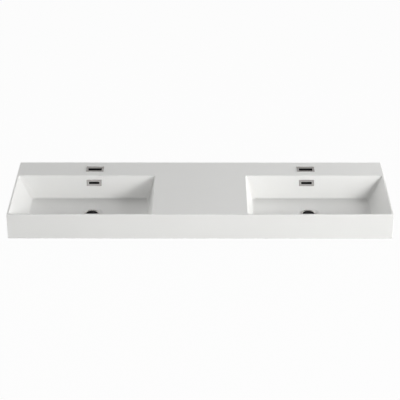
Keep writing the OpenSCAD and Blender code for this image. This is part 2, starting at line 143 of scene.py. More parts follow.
def pointOutwards():
    bpy.ops.mesh.select_all(action='SELECT')
    bpy.ops.mesh.normals_make_consistent(inside=False)


def bakePlace():
    bpy.ops.object.transform_apply(location=True, rotation=True, scale=True)


def addBox(name, low, high):
    deselectAll()
    low, high = Vector(low), Vector(high)
    bpy.ops.mesh.primitive_cube_add(size=1, location=(low + high) / 2 * mm, scale=(high - low) * mm)
    box = bpy.context.object
    box.name = name
    bakePlace()
    return box


def addDisc(name, radius, low, high, place=(0, 0), corners=roundCorners):
    deselectAll()
    bpy.ops.mesh.primitive_cylinder_add(
        vertices=corners, radius=radius * mm, depth=(high - low) * mm,
        location=Vector((place[0], place[1], (low + high) / 2)) * mm
    )
    disc = bpy.context.object
    disc.name = name
    bakePlace()
    return disc


def addWedge(name, lowRect, low, highRect, high):  # box whose top and foot are different rectangles
    wedge = addBox(name, (lowRect[0], lowRect[2], low), (lowRect[1], lowRect[3], high))
    openMesh(wedge)
    pickTop()
    x, y = (lowRect[0] + lowRect[1]) / 2, (lowRect[2] + lowRect[3]) / 2
    wider = (highRect[1] - highRect[0]) / (lowRect[1] - lowRect[0])
    deeper = (highRect[3] - highRect[2]) / (lowRect[3] - lowRect[2])
    resizeAt((x, y, high), wider, deeper, 1)
    moveBy((highRect[0] + highRect[1]) / 2 - x, (highRect[2] + highRect[3]) / 2 - y, 0)
    closeMesh()
    return wedge


def startOutline(name, across, up):  # a mesh of one picked point, left open to be drawn on
    deselectAll()
    bpy.ops.mesh.primitive_plane_add(size=mm, location=(0, 0, 0))
    drawn = bpy.context.object
    drawn.name = name
    openMesh(drawn)
    bpy.ops.mesh.select_mode(type='VERT')
    bpy.ops.mesh.select_all(action='SELECT')
    bpy.ops.mesh.merge(type='CENTER')
    moveBy(across, 0, up)
    return drawn


def roundedOutline(points, steps):  # each (across, up, radius) corner becomes an arc
    outline = []
    for index, (across, up, radius) in enumerate(points):
        corner = Vector((across, up, 0))
        if not radius:
            outline.append((across, up))
            continue
        before = (Vector((*points[index - 1][:2], 0)) - corner).normalized()
        after = (Vector((*points[(index + 1) % len(points)][:2], 0)) - corner).normalized()
        half = before.angle(after) / 2
        centre = corner + (before + after).normalized() * radius / sin(half)
        start = (corner + before * radius / tan(half) - centre).normalized()
        end = (corner + after * radius / tan(half) - centre).normalized()
        for step in range(steps + 1):
            spot = centre + start.slerp(end, step / steps) * radius
            outline.append((spot.x, spot.y))
    return outline


def turnOutline(name, outline, closed=True):  # spins an outline of (radius, height) round Z
    turned = startOutline(name, *outline[0])
    stops = outline[1:] + outline[:1] if closed else outline[1:]
    for (radius, height), (nextRadius, nextHeight) in zip(outline, stops):
        extrudeBy(nextRadius - radius, 0, nextHeight - height)
    weldDoubles()
    bpy.ops.mesh.spin(steps=roundCorners, angle=2 * pi, center=(0, 0, 0), axis=(0, 0, 1))
    weldDoubles()
    pointOutwards()
    closeMesh()
    return turned


def applyModifier(piece, kind, **values):
    makeActive(piece)
    modifier = piece.modifiers.new(kind.lower(), kind)
    for name, value in values.items():
        setattr(modifier, name, value)
    bpy.ops.object.modifier_apply(modifier=modifier.name)


def combine(piece, tool, operation):  # Boolean with a tool that is used up
    applyModifier(piece, 'BOOLEAN', operation=operation, solver='EXACT', object=tool)
    bpy.data.objects.remove(tool)


def joinAll(pieces):  # one object of several that don't touch
    makeActive(pieces[0])
    for piece in pieces[1:]:
        piece.select_set(True)
    bpy.ops.object.join()
    return pieces[0]


def copyTo(piece, name, place=(0, 0, 0), turn=(0, 0, 0), mirror=False):  # own mesh, place baked in
    made = piece.copy()
    made.data = piece.data.copy()
    made.name = made.data.name = name
    bpy.context.scene.collection.objects.link(made)
    makeActive(made)
    made.rotation_euler = turn
    made.location = Vector(place) * mm
    bakePlace()
    if mirror:
        made.scale.x = -1
        bakePlace()
        openMesh(made)
        pointOutwards()
        closeMesh()
    return made


def finishShading(piece):
    makeActive(piece)
    bpy.ops.object.shade_smooth_by_angle(angle=radians(shading["smoothBelow"]))
    applyModifier(piece, 'WEIGHTED_NORMAL', keep_sharp=True, weight=50)


def softenEdges(piece, width):
    applyModifier(
        piece, 'BEVEL', width=width * mm, segments=2, limit_method='ANGLE',
        angle_limit=radians(shading["bevelAbove"])
    )


def giveSecond(piece, test):  # the picked faces get the piece's second material
    openMesh(piece)
    pickFaces(test)
    piece.active_material_index = 1
    bpy.ops.object.material_slot_assign()
    closeMesh()


def placeInFrame(piece, body, nodes):
    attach(piece, body)
    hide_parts(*nodes)


# Small tools for materials

def hexToLinear(colour):  # sRGB hex to the linear values that Blender works in
    parts = [int(colour[i:i + 2], 16) / 255 for i in (1, 3, 5)]
    return [part / 12.92 if part <= 0.04045 else ((part + 0.055) / 1.055) ** 2.4 for part in parts] + [1]


def perMetre(size):  # how often a pattern of this size in mm repeats in a metre
    return 1 / (size * mm)


def addNode(tree, kind, settings=None, links=None):
    node = tree.nodes.new(kind)
    for name, value in (settings or {}).items():
        if isinstance(name, str) and hasattr(node, name):
            setattr(node, name, value)
        else:
            node.inputs[name].default_value = value
    for name, output in (links or {}).items():
        tree.links.new(output, node.inputs[name])
    return node


def newMaterial(name, settings):  # with the object's own coordinates to lay patterns in
    material = bpy.data.materials.new(name)
    material.use_nodes = True
    tree = material.node_tree
    shader = tree.nodes["Principled BSDF"]
    for socket, value in settings.items():
        shader.inputs[socket].default_value = value
    return material, tree, shader, addNode(tree, 'ShaderNodeTexCoord').outputs["Object"]


def cloudColour(tree, shader, place, values, detail):  # slow change between two colours
    cloud = addNode(
        tree, 'ShaderNodeTexNoise', {"Scale": perMetre(values["cloud"]), "Detail": detail}, {"Vector": place}
    )
    dark, light = (hexToLinear(colour) for colour in values["colours"])
    tint = addNode(  # sockets 6 and 7 hold the two colours, and 2 gives their mix
        tree, 'ShaderNodeMix', {"data_type": 'RGBA', 6: dark, 7: light}, {0: cloud.outputs["Fac"]}
    )
    tree.links.new(tint.outputs[2], shader.inputs["Base Color"])
    return cloud.outputs["Fac"]


def mottle(tree, shader, place, values):  # slow change of colour and polish over a surface
    cloud = cloudColour(tree, shader, place, values, 3)
    smooth, dull = values["roughness"]
    polish = addNode(tree, 'ShaderNodeMapRange', {"To Min": smooth, "To Max": dull}, {"Value": cloud})
    tree.links.new(polish.outputs["Result"], shader.inputs["Roughness"])


def roughen(tree, shader, place, values):  # fine uneven skin, as sprayed, wiped or spark eroded
    grain = addNode(
        tree, 'ShaderNodeTexNoise', {"Scale": perMetre(values["grain"]), "Detail": values["detail"]},
        {"Vector": place}
    )
    bump = addNode(
        tree, 'ShaderNodeBump', {"Distance": values["depth"] * mm}, {"Height": grain.outputs["Fac"]}
    )
    tree.links.new(bump.outputs["Normal"], shader.inputs["Normal"])


# Materials

def makeGelCoat():
    # polyester gel coat sprayed in the mould and rubbed matt: even white with a soft, wide sheen
    values = {
        "colours": ("#E9E9E7", "#EDEDEB"), "roughness": (0.42, 0.5), "cloud": 140,
        "grain": 4, "depth": 0.012, "detail": 2,
    }
    material, tree, shader, place = newMaterial("mattGelCoat", {"IOR": 1.5})
    mottle(tree, shader, place, values)
    roughen(tree, shader, place, values)
    return material


def makeRawCasting():
    # mineral-filled resin as it leaves the open back of the mould: chalky, troweled, with fine pinholes
    values = {
        "colours": ("#CFCCC4", "#DBD8D1"), "roughness": (0.7, 0.88), "cloud": 60, "trowel": 22, "depth": 0.35,
    }
    pores = {"spacing": 5, "radius": 0.14, "depth": 0.25}
    material, tree, shader, place = newMaterial("rawCasting", {"IOR": 1.5})
    mottle(tree, shader, place, values)
    trowel = addNode(
        tree, 'ShaderNodeTexNoise', {"Scale": perMetre(values["trowel"]), "Detail": 5}, {"Vector": place}
    )
    cells = addNode(tree, 'ShaderNodeTexVoronoi', {"Scale": perMetre(pores["spacing"])}, {"Vector": place})
    pits = addNode(
        tree, 'ShaderNodeMapRange',
        {"From Max": pores["radius"], "To Min": -pores["depth"] / values["depth"], "To Max": 0},
        {"Value": cells.outputs["Distance"]}
    )
    relief = addNode(
        tree, 'ShaderNodeMath', {"operation": 'ADD'}, {0: trowel.outputs["Fac"], 1: pits.outputs["Result"]}
    )
    bump = addNode(
        tree, 'ShaderNodeBump', {"Distance": values["depth"] * mm}, {"Height": relief.outputs["Value"]}
    )
    tree.links.new(bump.outputs["Normal"], shader.inputs["Normal"])
    return material


def makeChrome(name, colours, roughness):
    # chromium plate: grey mirror, a little duller where it is wiped, and brighter over brass than over zinc
    values = {
        "colours": colours, "roughness": roughness, "cloud": 12, "grain": 1.5, "depth": 0.002, "detail": 3,
    }
    material, tree, shader, place = newMaterial(name, {"Metallic": 1})
    mottle(tree, shader, place, values)
    roughen(tree, shader, place, values)
    return material


def makeBlackPlastic():
    # moulded ABS of the overflow channel: dull black, with the tool's fine spark texture
    values = {
        "colours": ("#0E0E0F", "#161617"), "roughness": (0.5, 0.64), "cloud": 18,
        "grain": 0.7, "depth": 0.03, "detail": 2,
    }
    material, tree, shader, place = newMaterial("blackAbs", {"IOR": 1.54, "Specular IOR Level": 0.25})
    mottle(tree, shader, place, values)
    roughen(tree, shader, place, values)
    return material


def makeBlackEnamelAndSlotShade():
    # stoved matt enamel over the brass plug: near black, with a fine even texture; also laid inside the trims'
    # slots as painted shade
    values = {
        "colours": ("#0C0C0D", "#131314"), "roughness": (0.58, 0.7), "cloud": 9,
        "grain": 0.8, "depth": 0.02, "detail": 2,
    }
    material, tree, shader, place = newMaterial("mattBlackEnamelAndSlotShade", {"IOR": 1.5, "Specular IOR Level": 0.16})
    mottle(tree, shader, place, values)
    roughen(tree, shader, place, values)
    return material


def makeRubber():
    # moulded nitrile rubber: dull dark grey with a dusty bloom
    values = {
        "colours": ("#1B1B1B", "#262625"), "roughness": (0.62, 0.8), "cloud": 7,
        "grain": 0.9, "depth": 0.04, "detail": 3,
    }
    material, tree, shader, place = newMaterial("nitrileRubber", {"IOR": 1.52})
    mottle(tree, shader, place, values)
    roughen(tree, shader, place, values)
    return material


def makeNylon():
    # injection-moulded nylon: milky white, faintly clouded, satin from the tool
    values = {
        "colours": ("#DDDBD2", "#E8E6DE"), "roughness": (0.4, 0.52), "cloud": 10,
        "spark": 0.5, "depth": 0.015,
    }
    material, tree, shader, place = newMaterial("mouldedNylon", {"IOR": 1.53, "Subsurface Weight": 0.06})
    mottle(tree, shader, place, values)
    spark = addNode(tree, 'ShaderNodeTexVoronoi', {"Scale": perMetre(values["spark"])}, {"Vector": place})
    bump = addNode(
        tree, 'ShaderNodeBump', {"Distance": values["depth"] * mm}, {"Height": spark.outputs["Distance"]}
    )
    tree.links.new(bump.outputs["Normal"], shader.inputs["Normal"])
    return material


def makeStainless():
    # brushed stainless sheet: grain runs along X, drawn at 0.4 mm so that it shows
    values = {
        "colours": ("#A9ABAC", "#BBBDBE"), "roughness": (0.26, 0.4), "cloud": 15,
        "grain": 0.4, "depth": 0.01, "detail": 2, "stretch": (0.03, 1, 1),
    }
    material, tree, shader, place = newMaterial("brushedStainless", {"Metallic": 1})
    mottle(tree, shader, place, values)
    along = addNode(tree, 'ShaderNodeMapping', {"Scale": values["stretch"]}, {"Vector": place})
    roughen(tree, shader, along.outputs["Vector"], values)
    return material


def makeBrass():
    # turned free-cutting brass: warm yellow with rings from the tool, about 3 mm apart
    values = {
        "colours": ("#B08D4A", "#C9A765"), "roughness": (0.24, 0.36), "cloud": 5,
        "ringRadian": 0.5, "depth": 0.02,
    }
    waveRadians = 20  # what a wave texture runs through in a unit, at scale 1
    material, tree, shader, place = newMaterial("turnedBrass", {"Metallic": 1})
    mottle(tree, shader, place, values)
    rings = addNode(
        tree, 'ShaderNodeTexWave',
        {"bands_direction": 'Z', "Scale": perMetre(values["ringRadian"]) / waveRadians}, {"Vector": place}
    )
    bump = addNode(
        tree, 'ShaderNodeBump', {"Distance": values["depth"] * mm}, {"Height": rings.outputs["Fac"]}
    )
    tree.links.new(bump.outputs["Normal"], shader.inputs["Normal"])
    return material


materials = {
    "gelCoat": makeGelCoat(),
    "rawCasting": makeRawCasting(),
    "chromedZinc": makeChrome("chromedZinc", ("#BFBCB9", "#C9C6C3"), (0.07, 0.16)),
    "chromedBrass": makeChrome("chromedBrass", ("#DCD9D6", "#E5E2DF"), (0.05, 0.12)),
    "blackPlastic": makeBlackPlastic(),
    "blackEnamelAndSlotShade": makeBlackEnamelAndSlotShade(),
    "rubber": makeRubber(),
    "nylon": makeNylon(),
    "stainless": makeStainless(),
    "brass": makeBrass(),
}
print("materials made")

# Camera: long lens above the front edge, a little right of the middle

view = {
    "place": (19.6, -5464.7, 2638), "turn": (63.64, 0.05, 0.2), "lens": 130, "sensor": 36, "farthest": 100,
}


def setCamera():
    camera = bpy.data.cameras.new("camera")
    camera.lens = view["lens"]
    camera.sensor_width = view["sensor"]
    camera.clip_end = view["farthest"]
    holder = bpy.data.objects.new("camera", camera)
    holder.location = Vector(view["place"]) * mm
    holder.rotation_euler = [radians(angle) for angle in view["turn"]]
    bpy.context.scene.collection.objects.link(holder)
    bpy.context.scene.camera = holder


setCamera()

# The casting: one moulding with both bowls, the deck, the aprons and what is cast under them

basin = {  # a bevel is its width and its segments
    "rim": 7, "rearApron": 10, "deckThickness": 12, "backDeck": 127, "middleDeck": 370,
    "bowlDepth": 85, "leanBack": 40, "leanFront": 10, "leanOuter": 57, "leanInner": 25,
    "wall": 9, "floor": 8, "floorRadius": 9, "footCorner": 22, "mouthCorner": (5, 16), "lip": (1.5, 4),
    "edge": (2, 4), "footEdge": (0.8, 2), "rib": 8, "ribLift": 30, "ribPlace": 145, "pocketLow": -20,
    "castingFillet": (2.5, 3), "ribFillet": (1, 2), "rawSlack": 0.05, "rawFoot": 0.3,
}
bowlCore = {"ringSegments": 64, "tubeSegments": 48, "hullAngle": 0.5, "flatAngle": 0.05}  # angles in degrees
insert = {
    "boss": 12, "endInset": 50, "rearInset": 40, "frontInset": 60, "hole": 6.05, "low": -5, "depth": 19,
    "corners": 48,
}
drain = {
    "hole": 23, "holeLow": -40, "boss": 33, "bossLow": -21, "blank": 37, "blankTop": 10, "bossLength": 32,
    "port": (40, 34, 9), "portDrop": 9.25,
}
dish = {  # inset to rise say how its edge runs out into the floor
    "seat": 32, "foot": 1.5, "depth": 5, "radius": 46, "inset": 3, "drop": 0.6, "ease": 8, "outset": 2,
    "rise": 0.15, "above": 4, "steps": 5,
}
hole = {"tap": (67, 35), "tapDepth": 30, "overflow": (50, 16.5), "overflowDepth": 14}

lowCorner, highCorner = boxOf("basin_top")
drainPlace = middleOf("right_waste_body")
tapPlace = middleOf("right_tap_slot_trim")
overflowDrop = 30.5  # from the deck to the middle of the overflow, down the leaning wall
deckHeight = highCorner.z
deckLow = deckHeight - basin["deckThickness"]
floorHeight = deckHeight - basin["bowlDepth"]
innerEdge = basin["middleDeck"] / 2
outerEdge = highCorner.x - basin["rim"]
frontEdge = lowCorner.y + basin["rim"]
backEdge = -basin["backDeck"]
backLean = atan(basin["leanBack"] / basin["bowlDepth"])
overflowPlace = Vector((
    drainPlace.x, backEdge - overflowDrop * sin(backLean), deckHeight - overflowDrop * cos(backLean)
))
overflowTurn = (pi / 2 - backLean, 0, 0)


def leanedRect(height, thickness=0):  # level outline of the right bowl, or of its shell, at a height
    def reach(lean):
        slant = thickness / cos(atan(lean / basin["bowlDepth"]))
        return slant - lean * (deckHeight - height) / basin["bowlDepth"]
    return (
        innerEdge - reach(basin["leanInner"]), outerEdge + reach(basin["leanOuter"]),
        frontEdge - reach(basin["leanFront"]), backEdge + reach(basin["leanBack"])
    )


def onSide(rect, side):  # the rectangle itself on the right, its mirror image on the left
    x0, x1 = sorted((side * rect[0], side * rect[1]))
    return (x0, x1, rect[2], rect[3])


def cornerPlace(foot, lean):  # middle of a round corner, in from a wall's foot towards the bowl
    inside = pi / 2 + atan(basin[lean] / basin["bowlDepth"])
    return foot + basin["footCorner"] - basin["floorRadius"] + basin["floorRadius"] / tan(inside / 2)


def addCornerRing(x, y):  # the rounding between a bowl's floor and two of its walls
    deselectAll()
    bpy.ops.mesh.primitive_torus_add(
        location=Vector((x, y, floorHeight + basin["floorRadius"])) * mm,
        major_segments=bowlCore["ringSegments"], minor_segments=bowlCore["tubeSegments"],
        major_radius=(basin["footCorner"] - basin["floorRadius"]) * mm, minor_radius=basin["floorRadius"] * mm
    )
    bakePlace()
    return bpy.context.object


def makeBowlCore():  # what the mould's core fills: tight corners at the mouth that widen to the floor
    x0, x1, y0, y1 = leanedRect(deckHeight)
    mouth = addBox("bowlCore", (x0, y0, deckHeight), (x1, y1, deckHeight + beyond))
    openMesh(mouth)
    pickEdges(uprightEdge)
    bevelEdges(*basin["mouthCorner"])
    closeMesh()
    x0, x1, y0, y1 = leanedRect(floorHeight)
    rings = [
        addCornerRing(x, y)
        for x in (cornerPlace(x0, "leanInner"), -cornerPlace(-x1, "leanOuter"))
        for y in (cornerPlace(y0, "leanFront"), -cornerPlace(-y1, "leanBack"))
    ]
    core = joinAll([mouth, *rings])
    openMesh(core)
    bpy.ops.mesh.select_all(action='SELECT')
    bpy.ops.mesh.convex_hull(face_threshold=radians(bowlCore["hullAngle"]), shape_threshold=pi)
    bpy.ops.mesh.select_all(action='SELECT')
    bpy.ops.mesh.dissolve_limited(angle_limit=radians(bowlCore["flatAngle"]))
    closeMesh()
    return core


def mouthEdge(a, b, angle):
    least, most = sorted((abs(a.x), abs(b.x)))
    inWidth = innerEdge - clear < least and most < outerEdge + clear
    inDepth = frontEdge - clear < min(a.y, b.y) and max(a.y, b.y) < backEdge + clear
    return angle > fold["slight"] and min(a.z, b.z) > deckHeight - near and inWidth and inDepth


def sinkBowls(top):
    core = makeBowlCore()
    combine(top, copyTo(core, "leftBowlCore", mirror=True), 'DIFFERENCE')
    combine(top, core, 'DIFFERENCE')
    openMesh(top)
    pickEdges(mouthEdge)
    bevelEdges(*basin["lip"])
    closeMesh()


def outerFaceEdge(a, b):  # both ends lie on the same outer face of the casting
    def faces(spot):
        return abs(spot.x) > highCorner.x - near, spot.y > -near, spot.y < lowCorner.y + near
    return any(first and second for first, second in zip(faces(a), faces(b)))


def upperEdge(a, b, angle):
    raised = min(a.z, b.z) > deckHeight - near or abs(a.z - b.z) > clear
    return angle > fold["sharp"] and outerFaceEdge(a, b) and raised


def footEdge(a, b, angle):
    return angle > fold["sharp"] and outerFaceEdge(a, b) and max(a.z, b.z) < near


def roundOutside(top):
    openMesh(top)
    pickEdges(upperEdge)
    bevelEdges(*basin["edge"])
    pickEdges(footEdge)
    bevelEdges(*basin["footEdge"])
    closeMesh()


def insertPlaces():  # four inserts round the middle and two at the rear ends
    rear, front = -insert["rearInset"], lowCorner.y + insert["frontInset"]
    places = [(side * basin["ribPlace"], y) for side in sides.values() for y in (rear, front)]
    return places + [(side * (highCorner.x - insert["endInset"]), rear) for side in sides.values()]


def makeKeepers():  # what stands in the space under the deck: bowl shells and ribs
    low, high = floorHeight - basin["floor"], deckHeight - clear
    rib, lift = basin["rib"] / 2, basin["ribLift"]
    keepers = []
    for side in sides.values():
        keepers.append(addWedge(
            "bowlShell", onSide(leanedRect(low, basin["wall"]), side), low,
            onSide(leanedRect(high, basin["wall"]), side), high
        ))
        x = side * basin["ribPlace"]
        keepers.append(addBox("rib", (x - rib, lowCorner.y, lift), (x + rib, 0, deckHeight)))
    x, y = basin["ribPlace"], drainPlace.y
    keepers.append(addBox("crossRib", (-x, y - rib, lift), (x, y + rib, deckHeight)))
    return keepers


def makeBosses():
    bosses = [
        addDisc("drainBoss", drain["boss"], drain["bossLow"], floorHeight, (side * drainPlace.x, drainPlace.y))
        for side in sides.values()
    ]
    return bosses + [
        addDisc("insertBoss", insert["boss"], 0, deckHeight, place, insert["corners"])
        for place in insertPlaces()
    ]


def makePocket():  # the space under the deck, less all that is cast into it
    def underDeck(a, b, angle):
        return angle > fold["plain"] and min(a.z, b.z) > deckLow - near
    def ribFoot(a, b, angle):
        return angle > fold["plain"] and max(abs(spot.z - basin["ribLift"]) for spot in (a, b)) < near
    pocket = addBox(
        "pocket", (lowCorner.x + basin["rim"], frontEdge, basin["pocketLow"]),
        (outerEdge, -basin["rearApron"], deckLow)
    )
    for keeper in makeKeepers():
        combine(pocket, keeper, 'DIFFERENCE')
    openMesh(pocket)
    pickEdges(underDeck)
    bevelEdges(*basin["castingFillet"])
    pickEdges(ribFoot)
    bevelEdges(*basin["ribFillet"])
    closeMesh()
    for boss in makeBosses():
        combine(pocket, boss, 'DIFFERENCE')
    return pocket


def makeTapHole(x):
    width, depth = (size / 2 for size in hole["tap"])
    return addBox(
        "tapHole", (x - width, tapPlace.y - depth, deckHeight - hole["tapDepth"]),
        (x + width, tapPlace.y + depth, deckHeight + beyond)
    )


def makeOverflowHole(x):
    width, height = (size / 2 for size in hole["overflow"])
    through = addBox("overflowHole", (-width, -height, -hole["overflowDepth"]), (width, height, beyond))
    made = copyTo(through, "overflowWay", (x, overflowPlace.y, overflowPlace.z), overflowTurn)
    bpy.data.objects.remove(through)
    return made


def makeOverflowPort(x):  # window in the drain boss, where the overflow channel ends
    width, depth, height = drain["port"]
    low, y = floorHeight - basin["floor"] - drain["portDrop"], drainPlace.y
    return addBox("overflowPort", (x - width / 2, y, low), (x + width / 2, y + depth, low + height))


def drillHoles(top):
    straight, ports = [], []
    for side in sides.values():
        x = side * drainPlace.x
        straight.append(addDisc(
            "drainHole", drain["hole"], drain["holeLow"], floorHeight + beyond, (x, drainPlace.y)
        ))
        straight.append(makeTapHole(x))
        straight.append(makeOverflowHole(x))
        ports.append(makeOverflowPort(x))
    for place in insertPlaces():
        straight.append(addDisc(
            "insertHole", insert["hole"], insert["low"], insert["depth"], place, insert["corners"]
        ))
    combine(top, joinAll(straight), 'DIFFERENCE')
    combine(top, joinAll(ports), 'DIFFERENCE')


def sinkDishes(top):  # shallow dish round each drain, eased into the floor
    low, high = floorHeight - dish["depth"], floorHeight + dish["above"]
    outside = dish["radius"] + dish["outset"]
    cutter = turnOutline("dish", roundedOutline([
        (0, low, 0), (dish["seat"], low, dish["foot"]),
        (dish["radius"] - dish["inset"], floorHeight - dish["drop"], dish["ease"]),
        (outside, floorHeight + dish["rise"], 0), (outside, high, 0), (0, high, 0),
    ], dish["steps"]), closed=False)
    for side in sides.values():
        combine(top, copyTo(cutter, "dishCut", (side * drainPlace.x, drainPlace.y, 0)), 'DIFFERENCE')
    bpy.data.objects.remove(cutter)


def rawFace(middle, normal):  # the open back of the mould, and the foot that was struck off level
    slack = basin["rawSlack"]
    inside = abs(middle.x) < outerEdge + slack and frontEdge - slack < middle.y < -basin["rearApron"] + slack
    return inside and normal.z < slack and middle.z < deckLow + slack or middle.z < basin["rawFoot"]


def makeBasin():
    top = addBox("basinTop", (lowCorner.x, lowCorner.y, 0), highCorner)
    roundOutside(top)
    for side in sides.values():  # blanks that the pocket trims to the drain bosses
        place = (side * drainPlace.x, drainPlace.y)
        low = floorHeight - drain["bossLength"]
        combine(top, addDisc("bossBlank", drain["blank"], low, drain["blankTop"], place), 'UNION')
    sinkBowls(top)
    combine(top, makePocket(), 'DIFFERENCE')
    sinkDishes(top)
    drillHoles(top)
    finishShading(top)
    for material in ("gelCoat", "rawCasting"):
        top.data.materials.append(materials[material])
    giveSecond(top, rawFace)
    placeInFrame(top, "top", ["basin_top"])


makeBasin()
print("casting made")

# Trims of the tap slots and overflows: a bevelled frame on a collar

tapTrim = {
    "slot": (56, 21), "slotShift": -5, "slack": 0.3, "collar": (66, 34), "collarLow": -11, "lift": 0.8,
    "thickness": 1.8, "plateCorner": (1.5, 4), "collarCorner": (1.5, 3), "slope": 0.6, "mouth": 0.9,
    "flare": 1.4, "soft": 0.2, "finish": "chromedZinc", "screwWay": 1.55, "screwTop": -3, "screwCorners": 24,
}
overflowTrim = {
    "plate": (62, 26), "slot": (44, 8.8), "slotShift": 0, "slack": 0.3, "collar": (49, 15.5),
    "collarLow": -9.1, "lift": 0.9, "thickness": 1.8, "plateCorner": (1.5, 4), "collarCorner": (1.5, 3),
    "slope": 0.6, "mouth": 0.9, "flare": 1.2, "soft": 0.2, "finish": "chromedBrass",
}
leg = {
    "width": 7, "reach": 12, "wall": 2.5, "tip": 1.5, "barb": 1.4, "barbTop": -9.9,
    "postLift": 0.5, "postTop": -5,
}


def cutSlot(trim, values, top):  # straight through, then flared where it meets the plate's face
    width, depth = values["slot"]
    shift, mouth = values["slotShift"], values["mouth"]
    low = values["collarLow"] - beyond / 2
    slot = addBox("slot", (-width / 2, shift - depth / 2, low), (width / 2, shift + depth / 2, top - mouth))
    openMesh(slot)
    pickTop()
    for rise, flare in ((mouth, values["flare"]), (clear, clear)):
        extrudeBy(0, 0, rise)
        resizeAt((0, shift, 0), (width + 2 * flare) / width, (depth + 2 * flare) / depth, 1)
        width, depth = width + 2 * flare, depth + 2 * flare
    closeMesh()
    combine(trim, slot, 'DIFFERENCE')


def makeFrameTrim(name, values, plate):  # lies on z = 0, with its slot near the middle
    top = values["lift"] + values["thickness"]
    trim = addBox(name, (-plate[0] / 2, -plate[1] / 2, values["lift"]), (plate[0] / 2, plate[1] / 2, top))
    openMesh(trim)
    pickEdges(uprightEdge)
    bevelEdges(*values["plateCorner"])
    pickTop()
    shrink = [(size - 2 * values["slope"]) / size for size in plate]
    resizeAt((0, 0, top), shrink[0], shrink[1], 1)
    closeMesh()
    width, depth = (size / 2 for size in values["collar"])
    collar = addBox("collar", (-width, -depth, values["collarLow"]), (width, depth, top - clear))
    openMesh(collar)
    pickEdges(uprightEdge)
    bevelEdges(*values["collarCorner"])
    closeMesh()
    combine(trim, collar, 'UNION')
    cutSlot(trim, values, top)
    return trim


def finishTrim(trim, values):  # chrome outside; inside the slot painted shade: black faces for the dark space under the deck
    across, along = (size / 2 + values["slack"] for size in values["slot"])
    mouthLow = values["lift"] + values["thickness"] - values["mouth"]
    def paintedShadeInSlot(middle, normal):
        beside = abs(middle.x) < across and abs(middle.y - values["slotShift"]) < along
        return beside and middle.z < mouthLow
    softenEdges(trim, values["soft"])
    # the black enamel on the slot's inside is painted shade, standing in for the dark space under the deck
    for material in (values["finish"], "blackEnamelAndSlotShade"):
        trim.data.materials.append(materials[material])
    giveSecond(trim, paintedShadeInSlot)
    finishShading(trim)


def makeTapTrims():
    low, high = boxOf("right_tap_slot_trim")
    trim = makeFrameTrim("tapTrim", tapTrim, (high.x - low.x, high.y - low.y))
    across = (tapTrim["slot"][0] + tapTrim["collar"][0]) / 4  # the middle of the collar's end
    for end in (-1, 1):
        way = addDisc(
            "screwWay", tapTrim["screwWay"], tapTrim["collarLow"] - clear, tapTrim["screwTop"],
            (end * across, 0), tapTrim["screwCorners"]
        )
        combine(trim, way, 'DIFFERENCE')
    finishTrim(trim, tapTrim)
    for side, sign in sides.items():
        made = copyTo(trim, side + "TapSlotTrim", (sign * tapPlace.x, tapPlace.y, deckHeight))
        placeInFrame(made, "top", [side + "_tap_slot_trim"])
    bpy.data.objects.remove(trim)


def makeSnapLeg(end):  # springy leg at an end of the collar, with its barb outwards
    slotEnd, width = overflowTrim["slot"][0] / 2, leg["width"] / 2
    low, high = -leg["reach"], leg["barbTop"]
    snap = addBox("snapLeg", (slotEnd, -width, low), (slotEnd + leg["tip"], width, high))
    openMesh(snap)
    pickTop()
    resizeAt((slotEnd, 0, high), (leg["wall"] + leg["barb"]) / leg["tip"], 1, 1)
    closeMesh()
    post = addBox(
        "legPost", (slotEnd + hair, -width + hair, low + leg["postLift"]),
        (slotEnd + leg["wall"], width - hair, leg["postTop"])
    )
    combine(snap, post, 'UNION')
    made = copyTo(snap, "snapLegEnd", mirror=end < 0)
    bpy.data.objects.remove(snap)
    return made


def makeOverflowTrims():
    trim = makeFrameTrim("overflowTrim", overflowTrim, overflowTrim["plate"])
    for end in (-1, 1):
        combine(trim, makeSnapLeg(end), 'UNION')
    finishTrim(trim, overflowTrim)
    for side, sign in sides.items():
        place = (sign * overflowPlace.x, overflowPlace.y, overflowPlace.z)
        made = copyTo(trim, side + "OverflowTrim", place, overflowTurn)
        placeInFrame(made, "top", [side + "_overflow_trim"])
    bpy.data.objects.remove(trim)


makeTapTrims()
makeOverflowTrims()
print("trims made")

# Wastes: flanged body with a threaded tail, back nut and the push-to-close plug

waste = {
    "seat": 16.5, "flange": 31.5, "flangeTop": 19.5, "cup": 22.9, "cupLow": 18, "collar": 22.6,
    "collarLow": 13.1, "bore": 18.5, "coneLow": 13.6, "tail": 20.95, "tailLow": -65.5,
    "groove": (-30.5, -32), "grooveDepth": 0.8, "grooveRun": 0.8, "window": (13, 9, 7.25), "windowReach": 40,
    "windowCorner": (2, 4), "bridge": (-24, -16), "hub": 8.5, "hubBore": 5.05, "hubCorners": 48, "arm": 7,
    "armCorner": (1.2, 3), "armSunk": 0.8,
}
thread = {
    "pitch": 2.309, "depth": 1.48, "low": -64.6, "high": -33.4, "fill": 0.98, "sunk": 0.3, "crest": 0.3,
    "steps": 48,
}
nut = {
    "low": -28.5, "high": -17.5, "radius": 29, "flange": 2.5, "bore": 21, "chamfer": 1.8, "turnedOff": 0.1,
    "leadIn": 2, "soft": 0.25,
}
plug = {
    "radius": 22.5, "top": 19.5, "crown": 0.8, "crownSteps": 12, "crownInset": 0.5, "brimRise": 0.05,
    "brimLow": 18.3, "low": 15, "neck": 19.2, "hub": 7, "hubLow": 11, "stem": 3.5, "stemLow": -14.5,
}
plugRing = {
    "radius": 20.1, "height": 16.6, "wire": 0.8, "out": 1.05, "rise": 0.9, "groove": 0.5, "footIn": 0.45,
}
arcSteps = 3  # straight steps in each rounding of these outlines


